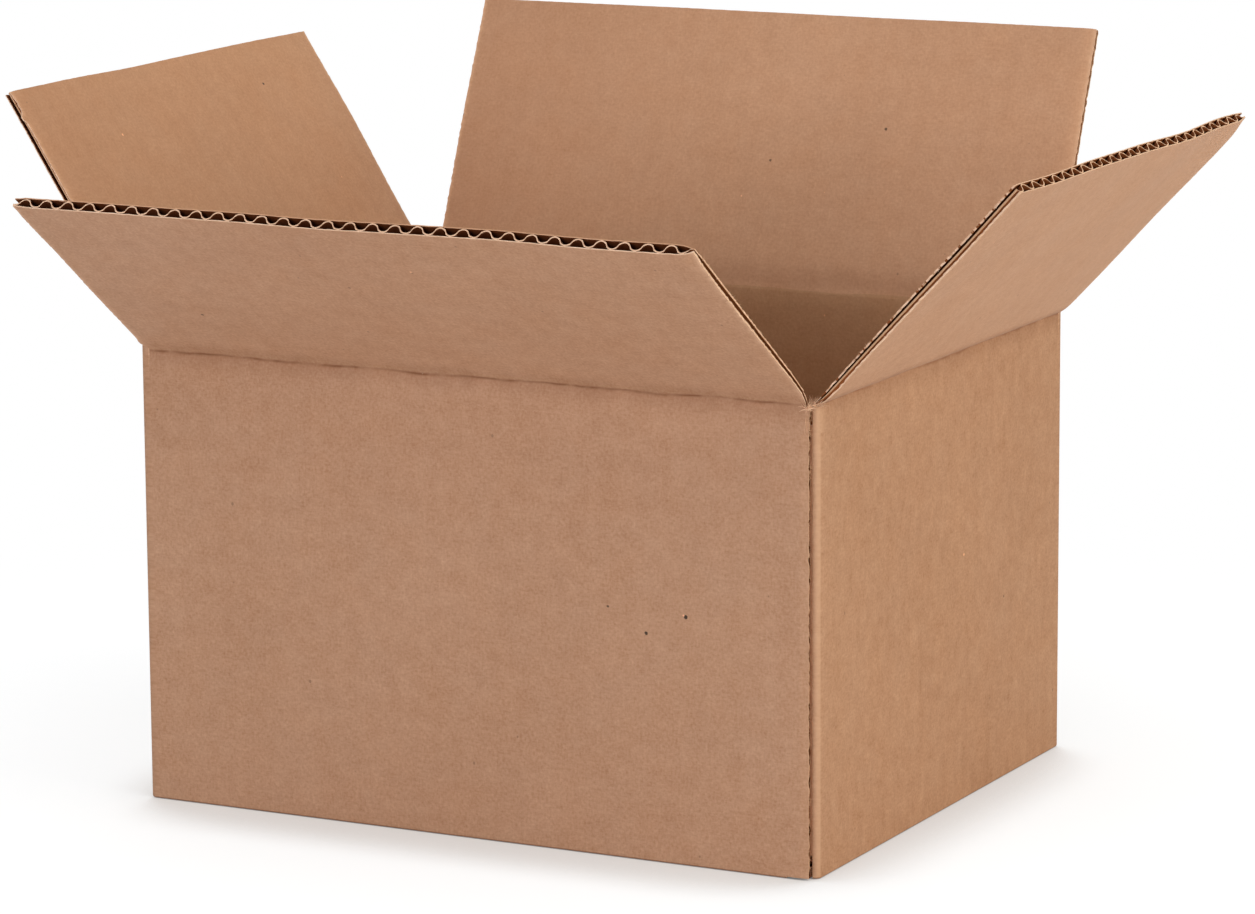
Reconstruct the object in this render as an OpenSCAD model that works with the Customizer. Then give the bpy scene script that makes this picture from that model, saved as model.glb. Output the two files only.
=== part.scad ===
/* [Box] */
// Outside length of the long walls, in mm
box_length = 260.4; // [225:0.2:400]
// Outside width of the end walls, in mm
box_width = 209.6; // [150:0.2:240]
// Height of the end flap creases above the floor, in mm
end_crease = 159.4; // [90:0.2:300]
// Thickness of the corrugated board, in mm
board = 3.2; // [2.6:0.1:4.4]

/* [Creases] */
// Space between the closed long flaps and the closed end flaps, in mm
closing_gap = 0.3; // [0.1:0.05:0.8]
// Crushed angle on each side of a flap crease, in degrees
bevel_angle = 46; // [45.5:0.5:55]
// Solid crushed band of a flap beside its crease, in mm
crush_band = 3; // [1:0.5:12]
// Outside radius of the folded edges, in mm
fold_radius = 2.4; // [1:0.1:3]

/* [Slots] */
// Space between a flap side and the inner face of the next wall, in mm
slot_clearance = 0.4; // [0.2:0.1:3]
// Depth of the slots below the end flap creases, in mm
slot_depth = 1.2; // [0.4:0.2:2.4]
// Gap between the closed long flaps at the top, in mm
top_seam = 2.4; // [0.6:0.2:12]
// Gap between the long flaps on the bottom, in mm
bottom_seam = 0.5; // [0.2:0.1:4]

/* [Flutes] */
// Distance from one flute to the next, in mm
flute_pitch = 8.3; // [6.5:0.1:10]
// Thickness of each flat facing sheet, in mm
liner = 0.35; // [0.2:0.05:0.5]
// Thickness of the wavy middle sheet, in mm
medium = 0.25; // [0.15:0.05:0.4]
// Width of the glue line between a flute tip and a facing sheet, in mm
glue_line = 1; // [0.6:0.1:1.6]
// First flute of the front flap, as a share of the pitch
front_phase = 0.55; // [0:0.05:1]
// First flute of the right flap, as a share of the pitch
right_phase = 0.75; // [0:0.05:1]
// First flute of the back flap, as a share of the pitch
back_phase = 0.3; // [0:0.05:1]
// First flute of the left flap, as a share of the pitch
left_phase = 0.4; // [0:0.05:1]

/* [Glue tab] */
// Length of the tab glued inside the front wall, in mm
tab_length = 35; // [20:1:60]
// Slope of the two cut ends of the tab, in degrees
tab_angle = 12; // [0:1:25]
// Space from the top of the tab to the closed end flaps, in mm
tab_top_space = 2; // [1:0.5:20]
// Space from the bottom of the tab to the floor, in mm
tab_base_space = 1.5; // [0.5:0.5:20]
// Distance of the front wall's cut edge from the corner, in mm
edge_setback = 0.8; // [0.2:0.1:2]
// Width of the crushed flute in that cut edge, in mm
edge_flute = 1; // [0.4:0.1:1.6]
// Depth of that flute, in mm
edge_flute_depth = 2; // [0.5:0.5:4]

/* [Pose] */
// Outward angle of the front flap from upright, in degrees
front_angle = 54.3; // [0:0.1:120]
// Outward angle of the right flap from upright, in degrees
right_angle = 43.2; // [0:0.1:120]
// Outward angle of the back flap from upright, in degrees
back_angle = 23; // [0:0.1:120]
// Outward angle of the left flap from upright, in degrees
left_angle = 32.8; // [0:0.1:120]

/* [Hidden] */
kraft = "#b78a66";
liner_kraft = "#c09470";
segments = 10;
over = board / 4;
half_length = box_length / 2;
half_width = box_width / 2;
long_crease = end_crease + board + closing_gap;
flap_length = (min(box_length, box_width) - top_seam) / 2;
slot_inset = board + slot_clearance;
long_flap = box_length - 2 * slot_inset;
end_flap = box_width - 2 * slot_inset;
bevel_rise = board * tan(bevel_angle);
flute_start = bevel_rise + crush_band;
wave = (board - 2 * liner - medium) / 2;
cell_half = (flute_pitch - glue_line) / 2;
slot_floor = end_crease - slot_depth;
floor_gap = half_length - flap_length;
tab_top = end_crease - board - tab_top_space;
tab_base = 2 * board + tab_base_space;
tab_end = half_length - tab_length;
tab_cut = (tab_length - board) * tan(tab_angle);

// Flute shape
function wave_slope(u) = wave * 2 * PI / flute_pitch * sin(360 * u / flute_pitch);
function wave_skin(u) = medium / 2 * sqrt(1 + pow(wave_slope(u), 2));
function wave_under(u) = board / 2 + wave * cos(360 * u / flute_pitch) - wave_skin(u);
function cell_step(k) = -cell_half + 2 * cell_half * k / segments;
function cell_curve() = [for (k = [1:segments - 1]) [cell_step(k), wave_under(cell_step(k))]];
function cell_points() = concat([[-cell_half, liner]], cell_curve(), [[cell_half, liner]]);
function cell_used(u, width) = abs(u) < width / 2 + cell_half - flute_pitch / 10;

// One hollow between the wavy sheet and the facing sheet below it
module cell(u) {
  translate([u, 0, flute_start])
    linear_extrude(flap_length - flute_start + over)
      polygon(cell_points());
}

// One hollow between the wavy sheet and the facing sheet above it
module cell_above(u) {
  translate([0, board, 0])
    mirror([0, 1, 0])
      cell(u);
}

// All hollows of a flap, open at its free edge and closed at the crushed crease
module cells(width, phase) {
  count = ceil(width / flute_pitch) + 1;
  for (i = [-1:count]) {
    crest = -width / 2 + (phase + i) * flute_pitch;
    if (cell_used(crest, width)) cell(crest);
    if (cell_used(crest + flute_pitch / 2, width)) cell_above(crest + flute_pitch / 2);
  }
}

// Upright flap with its crease on the X axis and its outer face on Y zero
module flap(width, phase) {
  difference() {
    rotate([90, 0, 90])
      linear_extrude(width, center = true)
        polygon([[0, 0], [board, bevel_rise], [board, flap_length], [0, flap_length]]);
    cells(width, phase);
  }
}

// Flap on the wall at a given distance, leaning outward
module hinged_flap(turn, distance, crease, lean, width, phase) {
  rotate([0, 0, turn])
    translate([0, -distance, crease])
      rotate([lean, 0, 0])
        flap(width, phase);
}

// Block with four rounded upright edges
module plan_block() {
  fr = fold_radius;
  translate([-half_length, -half_width + fr, 0])
    cube([box_length, box_width - 2 * fr, long_crease]);
  translate([-half_length + fr, -half_width, 0])
    cube([box_length - 2 * fr, box_width, long_crease]);
  for (x = [-1, 1])
    for (y = [-1, 1])
      translate([x * (half_length - fr), y * (half_width - fr), 0])
        cylinder(h = long_crease, r = fr, $fn = 48);
}

// Long block with its two lower edges rounded
module lower_round(half, length) {
  fr = fold_radius;
  translate([-half, -length / 2, fr])
    cube([2 * half, length, long_crease]);
  translate([-half + fr, -length / 2, 0])
    cube([2 * half - 2 * fr, length, long_crease]);
  for (x = [-1, 1])
    translate([x * (half - fr), length / 2, fr])
      rotate([90, 0, 0])
        cylinder(h = length, r = fr, $fn = 48);
}

// Closed outside form of the folded sheet
module outer_form() {
  intersection() {
    plan_block();
    lower_round(half_length, box_width + 2 * over);
    rotate([0, 0, 90])
      lower_round(half_width, box_length + 2 * over);
  }
}

// Space inside the walls, stepping down between the two end flaps of the floor
module inside_space() {
  inner_length = box_length - 2 * board;
  inner_width = box_width - 2 * board;
  translate([-inner_length / 2, -inner_width / 2, 2 * board])
    cube([inner_length, inner_width, long_crease]);
  translate([-floor_gap, -inner_width / 2, board])
    cube([2 * floor_gap, inner_width, long_crease]);
}

// Seam of the bottom and the slots beside its long flaps
module bottom_gaps() {
  inner_width = box_width - 2 * board;
  translate([-half_length + slot_inset, -bottom_seam / 2, -over])
    cube([box_length - 2 * slot_inset, bottom_seam, board + over]);
  for (side = [-1, 1])
    translate([side * (half_length - board - slot_clearance / 2), 0, 0])
      translate([-slot_clearance / 2, -inner_width / 2, -over])
        cube([slot_clearance, inner_width, board + over]);
}

// Crushed bevel on the top of one wall, with the wall on the side of minus Y
module top_bevel(distance, crease, width) {
  deep = board + over;
  translate([0, -distance, crease])
    rotate([90, 0, 90])
      linear_extrude(width, center = true)
        polygon([
          [0, 0],
          [deep, -deep * tan(bevel_angle)],
          [deep, 2 * board],
          [-over, 2 * board],
          [-over, 0]
        ]);
}

// Square slot ends at the four upper corners
module corner_slots() {
  side = slot_inset + over;
  for (x = [0, 1])
    for (y = [0, 1])
      mirror([x, 0, 0])
        mirror([0, y, 0])
          translate([half_length - slot_inset, half_width - slot_inset, slot_floor])
            cube([side, side, 4 * board]);
}

// Cut edge of the front wall and the fold behind it
module joint_cut() {
  fr = fold_radius;
  tall = long_crease + 2 * over;
  translate([half_length - edge_setback, -half_width - over, -over])
    cube([edge_setback + over, board + over, tall]);
  translate([half_length - fr, -half_width + board, -over])
    difference() {
      cube([fr + over, fr, tall]);
      translate([0, fr, -over])
        cylinder(h = tall + 2 * over, r = fr, $fn = 48);
    }
  translate([half_length - edge_setback, -half_width + board / 2 - edge_flute / 2, 2 * board])
    translate([-edge_flute_depth, 0, 0])
      cube([edge_flute_depth + over, edge_flute, tall]);
}

// Tab folded from the right wall and glued inside the front wall
module glue_tab() {
  translate([0, -half_width + 2 * board, 0])
    rotate([90, 0, 0])
      linear_extrude(board + over)
        polygon([
          [half_length - board + over, tab_base],
          [half_length - board + over, tab_top],
          [tab_end, tab_top - tab_cut],
          [tab_end, tab_base + tab_cut]
        ]);
}

// Four walls, closed bottom and glued corner of the folded sheet
module box_body() {
  color(kraft)
    union() {
      difference() {
        outer_form();
        inside_space();
        bottom_gaps();
        top_bevel(half_width, long_crease, box_length + 2 * over);
        rotate([0, 0, 180])
          top_bevel(half_width, long_crease, box_length + 2 * over);
        rotate([0, 0, 90])
          top_bevel(half_length, end_crease, end_flap);
        rotate([0, 0, -90])
          top_bevel(half_length, end_crease, end_flap);
        corner_slots();
        joint_cut();
      }
      glue_tab();
    }
}

// Flap of the front wall
module front_flap() {
  color(liner_kraft)
    hinged_flap(0, half_width, long_crease, front_angle, long_flap, front_phase);
}

// Flap of the right end wall
module right_flap() {
  color(liner_kraft)
    hinged_flap(90, half_length, end_crease, right_angle, end_flap, right_phase);
}

// Flap of the back wall
module back_flap() {
  color(liner_kraft)
    hinged_flap(180, half_width, long_crease, back_angle, long_flap, back_phase);
}

// Flap of the left end wall
module left_flap() {
  color(liner_kraft)
    hinged_flap(-90, half_length, end_crease, left_angle, end_flap, left_phase);
}

box_body();
front_flap();
right_flap();
back_flap();
left_flap();
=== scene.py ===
import math

import bpy
import numpy as np
from mathutils import Matrix, Vector


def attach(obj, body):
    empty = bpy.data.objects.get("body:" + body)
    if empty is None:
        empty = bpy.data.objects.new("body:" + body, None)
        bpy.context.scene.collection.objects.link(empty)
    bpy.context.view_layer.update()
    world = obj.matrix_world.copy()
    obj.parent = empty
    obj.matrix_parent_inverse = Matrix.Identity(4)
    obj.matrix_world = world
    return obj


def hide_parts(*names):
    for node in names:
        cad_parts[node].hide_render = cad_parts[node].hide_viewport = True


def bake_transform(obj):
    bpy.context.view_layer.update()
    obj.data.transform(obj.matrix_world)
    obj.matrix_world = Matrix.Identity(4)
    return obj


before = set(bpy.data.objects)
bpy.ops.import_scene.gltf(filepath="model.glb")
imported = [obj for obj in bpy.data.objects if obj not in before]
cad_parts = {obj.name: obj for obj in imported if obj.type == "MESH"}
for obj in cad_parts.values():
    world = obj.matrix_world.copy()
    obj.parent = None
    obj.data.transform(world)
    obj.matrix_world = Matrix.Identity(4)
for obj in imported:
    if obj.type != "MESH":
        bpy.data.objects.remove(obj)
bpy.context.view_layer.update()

# Sizes in millimetres, the same as in the part's source
LENGTH, WIDTH, BOARD = 260.4, 209.6, 3.2
HALF_L, HALF_W = LENGTH / 2, WIDTH / 2
END_CREASE, LONG_CREASE = 159.4, 162.9
FLAP = 103.6
INSET = 3.6
LONG_FLAP, END_FLAP = LENGTH - 2 * INSET, WIDTH - 2 * INSET
FOLD = 2.4
PITCH = 8.3
BOTTOM_SEAM = 0.5
TAB_LENGTH, TAB_ANGLE = 35.0, 12.0
TAB_TOP, TAB_BASE = 154.2, 2 * BOARD + 1.5
ANGLES = {"front": 54.3, "right": 43.2, "back": 23.0, "left": 32.8}

# Thickness of the facing sheets and the wavy sheet, and half the wave's height
LINER, MEDIUM = 0.30, 0.40
WAVE_RISE = (BOARD - 2 * LINER - MEDIUM) / 2
# Radius inside the upright folds and along the base
INNER_FOLD, BASE_FOLD = 0.6, 0.6
# From the glued corner to the raw edge of the front wall
SETBACK = 2.4
# Lower ends of the bent creases, and tops of the corner posts
WALL_TOP, POST_TOP = 151.4, 161.2
# Metres in a millimetre
MM = 0.001

# Material slots
LINER_OUT, LINER_IN, CUT, FLUTE_SHADE, FOLDED, SHADED_WALL_IN, GAP_SHADE, FIBRE, SIDE_OUT = range(9)

# Start of each wall along the sheet, from the glued corner
ALONG = {"right": 0.0, "back": WIDTH, "left": WIDTH + LENGTH, "front": 2 * WIDTH + LENGTH}


# Helpers
def smooth_noise(seed, shortest, longest, count=14):
    """A smooth field of two lengths, about -1 to 1, made of seeded waves."""
    rng = np.random.default_rng(seed)
    size = np.exp(rng.uniform(math.log(shortest), math.log(longest), count))
    turn = rng.uniform(0, 2 * math.pi, count)
    start = rng.uniform(0, 2 * math.pi, count)
    kx, ky = np.cos(turn) * 2 * math.pi / size, np.sin(turn) * 2 * math.pi / size
    share = np.sqrt(size / longest)
    share = share / np.sqrt((share ** 2).sum() / 2) / 1.8

    def field(x, y=0.0):
        x, y = np.broadcast_arrays(np.asarray(x, float), np.asarray(y, float))
        out = np.zeros(x.shape)
        for a, b, c, d in zip(kx, ky, start, share):
            out += d * np.sin(a * x + b * y + c)
        return out

    return field


def bell(x, width):
    return np.exp(-((x / width) ** 2))


def unit(x):
    return np.clip(x, 0, 1)


def ramp(x, low, high):
    """0 to 1 between two values."""
    return unit((x - low) / (high - low))


def board_uv(along, up):
    """Place on the flat sheet, in metres."""
    along, up = np.broadcast_arrays(along, up)
    return np.stack([along, up], -1) * MM


def turned(p, turn):
    """Points turned about the upright axis by quarter turns."""
    c, s = round(math.cos(math.radians(turn))), round(math.sin(math.radians(turn)))
    out = p.copy()
    out[..., 0] = c * p[..., 0] - s * p[..., 1]
    out[..., 1] = s * p[..., 0] + c * p[..., 1]
    return out


def painted_flap_shade(z):
    """Painted shade on the front wall towards its crease, where the front flap shades it."""
    return 0.09 * ramp(z, 90, 155) ** 1.3


# Meshes
class Form:
    """Collects the closed sheets of one piece, in millimetres."""

    # Shift of the pattern between a sheet's two faces, in metres
    OTHER_FACE = np.array([3.0, 0.4])
    # Points round and along a fibre, its taper, and the steps in a metre for comparing corners
    HAIR_POINTS, HAIR_TAPER, STEPS = 6, 0.75, 1e7

    def __init__(self):
        self.points, self.uvs, self.light_and_fluff_values = [], [], []
        self.faces, self.slots = [], []
        self.count = 0

    def grid(self, p, uv, slot, flip=False, light_and_fluff=0.0):
        """An open grid of faces, with one slot for all or one for each face."""
        rows, cols = p.shape[:2]
        at = np.arange(rows * cols).reshape(rows, cols) + self.count
        a, b, c, d = at[:-1, :-1], at[1:, :-1], at[1:, 1:], at[:-1, 1:]
        quads = np.stack([a, d, c, b] if flip else [a, b, c, d], -1).reshape(-1, 4)
        self.points.append(p.reshape(-1, 3))
        self.uvs.append(uv.reshape(-1, 2))
        self.faces.append(quads)
        self.slots.append(np.broadcast_to(slot, (rows - 1, cols - 1)).ravel())
        self.light_and_fluff_values.append(np.broadcast_to(light_and_fluff, (rows, cols)).ravel())
        self.count += rows * cols

    def slab(self, outer, inner, uv, slots, ends=(CUT, CUT, CUT, CUT), light_and_fluff=(0.0, 0.0)):
        """A closed sheet: rows run up, columns run along, and inner lies to the left of along."""
        self.grid(outer, uv, slots[0], flip=True, light_and_fluff=light_and_fluff[0])
        self.grid(inner, uv + self.OTHER_FACE, slots[1], light_and_fluff=light_and_fluff[1])
        thick = np.array([0.0, BOARD * MM])
        for place, flip, slot in ((0, False, ends[0]), (-1, True, ends[1])):
            rim = np.stack([outer[place], inner[place]])
            self.grid(rim, np.stack([uv[place], uv[place] + thick]), slot, flip)
        for place, flip, slot in ((0, False, ends[2]), (-1, True, ends[3])):
            rim = np.stack([outer[:, place], inner[:, place]], 1)
            side = np.stack([uv[:, place], uv[:, place] + thick[::-1]], 1)
            self.grid(rim, side, slot, flip)

    def hair(self, start, way, length, thick, bend, slot, rng):
        """One torn paper fibre: a thin tapered tube."""
        count = self.HAIR_POINTS
        way = way / np.linalg.norm(way)
        side = np.cross(way, rng.normal(size=3))
        side /= np.linalg.norm(side)
        other = np.cross(way, side)
        ring = np.linspace(0, 2 * math.pi, count)
        rows = []
        for s in np.linspace(0, 1, count):
            centre = start + way * length * s + side * bend * s * s
            r = thick * (1 - self.HAIR_TAPER * s)
            rows.append([centre + r * (math.cos(a) * side + math.sin(a) * other) for a in ring])
        p = np.array(rows)
        uv = np.stack(np.meshgrid(np.linspace(0, 0.002, count), np.linspace(0, 0.004, count)), -1)
        self.grid(p, uv + rng.uniform(0, 1, 2), slot, flip=True)
        for row, flip in ((p[0], False), (p[-1], True)):
            cap = np.stack([row, np.repeat(row.mean(0)[None], count, 0)])
            self.grid(cap, np.zeros((2, count, 2)), slot, flip)

    def clean_faces(self, points):
        """Faces and slots: a quad whose corners meet becomes a triangle, and one with no area goes."""
        quads, slots = np.concatenate(self.faces), np.concatenate(self.slots)
        corners = np.round(points * self.STEPS).astype(np.int64)[quads]
        pairs = ((0, 1), (1, 2), (2, 3), (3, 0), (0, 2), (1, 3))
        poor = np.any([(corners[:, a] == corners[:, b]).all(1) for a, b in pairs], axis=0)
        faces, places = quads[~poor].tolist(), slots[~poor].tolist()
        for quad, where, slot in zip(quads[poor].tolist(), corners[poor].tolist(), slots[poor].tolist()):
            face = [k for n, k in enumerate(quad) if where[n] not in where[:n]]
            if len(face) > 2:
                faces.append(face)
                places.append(slot)
        return faces, places

    def build(self, name, materials):
        """The finished mesh, with its painted light and pale fluff and its places on the flat sheet."""
        points = np.concatenate(self.points) * MM
        faces, places = self.clean_faces(points)
        mesh = bpy.data.meshes.new(name)
        mesh.from_pydata(points.tolist(), [], faces)
        for material in materials:
            mesh.materials.append(material)
        mesh.polygons.foreach_set("material_index", places)
        mesh.polygons.foreach_set("use_smooth", [True] * len(faces))
        # Painted light and pale fluff on each point: painted shade above zero; painted highlight, painted
        # sheen and fluff below zero
        light_layer = mesh.attributes.new("light_and_fluff", "FLOAT", "POINT")
        light_layer.data.foreach_set("value", np.concatenate(self.light_and_fluff_values).astype(np.float32))
        layer = mesh.uv_layers.new(name="Board")
        corner = np.zeros(len(mesh.loops), np.int32)
        mesh.loops.foreach_get("vertex_index", corner)
        layer.data.foreach_set("uv", np.concatenate(self.uvs)[corner].astype(np.float32).ravel())
        mesh.validate()
        mesh.update()
        obj = bpy.data.objects.new(name, mesh)
        bpy.context.scene.collection.objects.link(obj)
        return obj


# Materials
def add(tree, kind, inputs=None, **settings):
    """Outputs of a new node with its settings, and a value or a link for each of its inputs."""
    node = tree.nodes.new(kind)
    for key, value in settings.items():
        setattr(node, key, value)
    for key, value in (inputs or {}).items():
        if isinstance(value, bpy.types.NodeSocket):
            tree.links.new(value, node.inputs[key])
        else:
            node.inputs[key].default_value = value
    return node.outputs


def mixed(tree, share, first, second):
    """The first colour where the share is 0, the second where it is 1."""
    inputs = {"Factor": share, "A": first, "B": second}
    return add(tree, "ShaderNodeMix", inputs, data_type="RGBA")["Result"]


def graded(tree, value, low, high, kind="LINEAR"):
    """0 to 1 between two values."""
    inputs = {"Value": value, "From Min": low, "From Max": high}
    return add(tree, "ShaderNodeMapRange", inputs, interpolation_type=kind)["Result"]


def linear(rgb):
    """Linear light from colours of 0 to 255."""
    return [c / 12.92 if c <= 0.04045 else ((c + 0.055) / 1.055) ** 2.4 for c in (v / 255 for v in rgb)]


def times(base, shares):
    return [b * s for b, s in zip(base, shares)]


class Paper:
    """A paper's material, with short ways to add its nodes."""

    def __init__(self, name):
        self.material = bpy.data.materials.new(name)
        self.material.use_nodes = True
        self.tree = self.material.node_tree
        self.shader = self.tree.nodes["Principled BSDF"]
        self.where = add(self.tree, "ShaderNodeUVMap", uv_map="Board")["UV"]

    def noise(self, scale, detail, roughness, stretch=None):
        source = self.where
        if stretch:
            source = add(self.tree, "ShaderNodeMapping", {"Vector": source, "Scale": stretch})["Vector"]
        inputs = {"Vector": source, "Scale": scale, "Detail": detail, "Roughness": roughness}
        return add(self.tree, "ShaderNodeTexNoise", inputs)["Fac"]

    def maths(self, operation, *terms):
        return add(self.tree, "ShaderNodeMath", dict(enumerate(terms)), operation=operation)[0]

    def weighted(self, parts):
        """Sum of the noises, each taken from its middle and by its share."""
        total = None
        for noise, share in parts:
            term = self.maths("MULTIPLY", self.maths("SUBTRACT", noise, 0.5), share)
            total = term if total is None else self.maths("ADD", total, term)
        return total

    def over(self, colour, mask, tone):
        """A colour with a tone laid over it where the mask is."""
        return mixed(self.tree, mask, colour, (*tone, 1))


# Shares of red, green and blue: two tints, how the tone acts, and the tones of painted shade and of pale
# places (painted highlight, painted sheen and fluff)
WARM, COOL = (1.02, 0.985, 0.95), (0.985, 1.01, 1.05)
TONE_GAIN = (1.0, 1.4, 1.85)
SHADE_TONE, HIGHLIGHT_AND_FLUFF_TONE = (0.42, 0.28, 0.19), (1.32, 1.45, 1.58)

# Strewn specks: cells to the metre, size in cells, rarity, and tone against the paper
SPECKS = ((95, 0.045, 0.965, 0.35), (230, 0.12, 0.93, 0.66), (150, 0.05, 0.95, 1.45))

# Single flecks: place along and up the sheet and radius in millimetres, and tone
OUTSIDE_FLECKS = (
    (877.0, 78.9, 0.62, 0.13), (892.0, 85.8, 0.70, 0.10), (862.5, 86.8, 0.45, 0.30), (156.0, 66.6, 0.5, 0.45),
    (720.0, 192.1, 0.6, 0.3), (119.6, 88.5, 0.55, 1.9), (822.8, 238.7, 0.5, 1.7), (891.1, 86.3, 0.35, 1.9),
)
INSIDE_FLECKS = (
    (3289.4, 624.1, 0.6, 0.25), (3334.1, 609.6, 0.5, 0.35), (3520.6, 645.5, 0.6, 0.15),
    (3624.9, 638.3, 0.5, 1.8),
)


def flute_marks(paper, depth):
    """Faint stripes where the flutes lie under the facing sheet."""
    place = add(paper.tree, "ShaderNodeSeparateXYZ", {0: paper.where})
    turns = paper.maths("MULTIPLY", place[0], 2 * math.pi / (PITCH * MM))
    return paper.maths("MULTIPLY", paper.maths("SINE", turns), depth)


def tinted(paper, base, tone):
    """The paper's colour, drifting between a warm and a cool tint, with its tone added."""
    warm, cool = ((*times(base, shares), 1) for shares in (WARM, COOL))
    tint = mixed(paper.tree, paper.noise(55, 3, 0.6), warm, cool)
    inputs = {0: tone, 1: times(base, TONE_GAIN), 2: tint}
    return add(paper.tree, "ShaderNodeVectorMath", inputs, operation="MULTIPLY_ADD")[0]


def with_light_and_fluff(paper, base, colour):
    """Painted shade where the mesh's value of painted light and fluff is above zero; painted highlight,
    painted sheen and pale fluff where it is below.
    """
    light_and_fluff = add(paper.tree, "ShaderNodeAttribute", attribute_name="light_and_fluff")["Fac"]
    colour = paper.over(colour, light_and_fluff, times(base, SHADE_TONE))
    return paper.over(colour, paper.maths("MULTIPLY", light_and_fluff, -1.0), times(base, HIGHLIGHT_AND_FLUFF_TONE))


def flecked(paper, base, colour, fine, fleck):
    """One fleck with a ragged rim."""
    u, v, radius, tone = fleck
    size = radius * MM
    inputs = {0: paper.where, 1: (u * MM, v * MM, 0)}
    away = add(paper.tree, "ShaderNodeVectorMath", inputs, operation="DISTANCE")["Value"]
    ragged = paper.maths("MULTIPLY", paper.maths("SUBTRACT", fine, 0.5), 1.4 * size)
    mask = graded(paper.tree, paper.maths("ADD", away, ragged), 1.1 * size, 0.8 * size)
    return paper.over(colour, mask, [min(1, c * tone) for c in base])


def specked(paper, base, colour):
    """Dark and pale specks in some cells of a random pattern."""
    smallest, soft = 0.015, 0.02
    for scale, size, rarity, tone in SPECKS:
        place = {"Vector": paper.where, "Location": (scale * 0.013, scale * 0.021, 0), "Scale": (1, 0.8, 1)}
        warp = add(paper.tree, "ShaderNodeMapping", place)["Vector"]
        cell = add(paper.tree, "ShaderNodeTexVoronoi", {"Vector": warp, "Scale": scale})
        pick = add(paper.tree, "ShaderNodeSeparateColor", {0: cell["Color"]})
        chosen = paper.maths("GREATER_THAN", pick[0], rarity)
        edge = paper.maths("ADD", paper.maths("MULTIPLY", pick[1], size), smallest)
        within = paper.maths("SUBTRACT", edge, cell["Distance"])
        mask = paper.maths("MULTIPLY", chosen, graded(paper.tree, within, 0.0, soft))
        colour = paper.over(colour, mask, [min(1, c * tone) for c in base])
    return colour


def kraft(name, colour, grain=1.0, flutes=0.0, streaks=0.0, specks=True, flecks=(),
          rough=0.72, bump=1.0, gloss=0.3, fuzz=0.12):
    """Brown kraft paper: cloudy formation, fine fibres, and a few dark and pale flecks."""
    paper = Paper(name)
    base = linear(colour)
    surface = {"Roughness": rough, "Specular IOR Level": gloss, "Sheen Weight": fuzz, "Sheen Roughness": 0.25}
    for socket, value in surface.items():
        paper.shader.inputs[socket].default_value = value
    fine = paper.noise(900, 3, 0.65)
    fibre = paper.noise(1.0, 3, 0.6, (1500, 420, 1))
    cloud = paper.noise(150, 4, 0.6)
    parts = [
        (fine, 0.34 * grain),
        (fibre, 0.16 * grain),
        (paper.noise(1.0, 2, 0.6, (380, 1700, 1)), 0.14 * grain),
        (cloud, 0.19 * grain),
        (paper.noise(48, 3, 0.6), 0.06 * grain),
        (paper.noise(16, 3, 0.55), 0.13),
    ]
    if streaks:
        parts.append((paper.noise(1.0, 3, 0.6, (360, 170, 1)), streaks))
        parts.append((paper.noise(1.0, 2, 0.6, (150, 95, 1)), 0.7 * streaks))
    tone = paper.weighted(parts)
    if flutes:
        tone = paper.maths("ADD", tone, flute_marks(paper, flutes))
    shown = with_light_and_fluff(paper, base, tinted(paper, base, tone))
    for fleck in flecks:
        shown = flecked(paper, base, shown, fine, fleck)
    if specks:
        shown = specked(paper, base, shown)
    coarse = paper.maths("MULTIPLY", paper.maths("ADD", fibre, cloud), 0.6)
    height = paper.maths("ADD", fine, coarse)
    inputs = {"Strength": 0.35 * bump, "Distance": 0.12 * MM, "Height": height}
    relief = add(paper.tree, "ShaderNodeBump", inputs)["Normal"]
    paper.tree.links.new(shown, paper.shader.inputs["Base Color"])
    paper.tree.links.new(relief, paper.shader.inputs["Normal"])
    return paper.material


# Papers in the order of the slots
OUTSIDE = {"grain": 1.5, "flutes": 0.006, "flecks": OUTSIDE_FLECKS}
INSIDE = {"grain": 1.0, "flutes": 0.006, "flecks": INSIDE_FLECKS}
RAW = {"specks": False, "rough": 0.9, "fuzz": 0.0}
MATERIALS = [
    kraft("kraft_outside", (184, 140, 109), **OUTSIDE),
    # The inside paper and the inside wall paper are lit and shaded copies of one liner: lighter on the flaps,
    # darker with painted shade inside the box
    kraft("kraft_inside", (197, 150, 115), **INSIDE),
    kraft("kraft_cut_edge", (226, 188, 157), grain=2.2, bump=1.6, gloss=0.15, **RAW),
    # Painted shade: dark paper for the faces inside the flutes, where only shade falls
    kraft("kraft_flute_painted_shade", (102, 54, 30), grain=1.2, gloss=0.0, **RAW),
    kraft("kraft_fold_line", (196, 153, 118), grain=1.8, specks=False, rough=0.8, gloss=0.15, fuzz=0.0),
    # Shaded copy of the inside paper, with painted shade, for the walls' inner faces
    kraft("kraft_inside_wall_shaded", (186, 142, 104), **INSIDE),
    # Painted shade, lighter, for gaps just behind cut sides and at the raw edge
    kraft("kraft_side_gap_painted_shade", (130, 75, 43), grain=1.2, gloss=0.0, **RAW),
    kraft("kraft_fibre", (222, 182, 150), grain=1.8, gloss=0.1, **RAW),
    kraft("kraft_outside_streaked", (181, 137, 105), streaks=0.22, **OUTSIDE),
]


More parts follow.
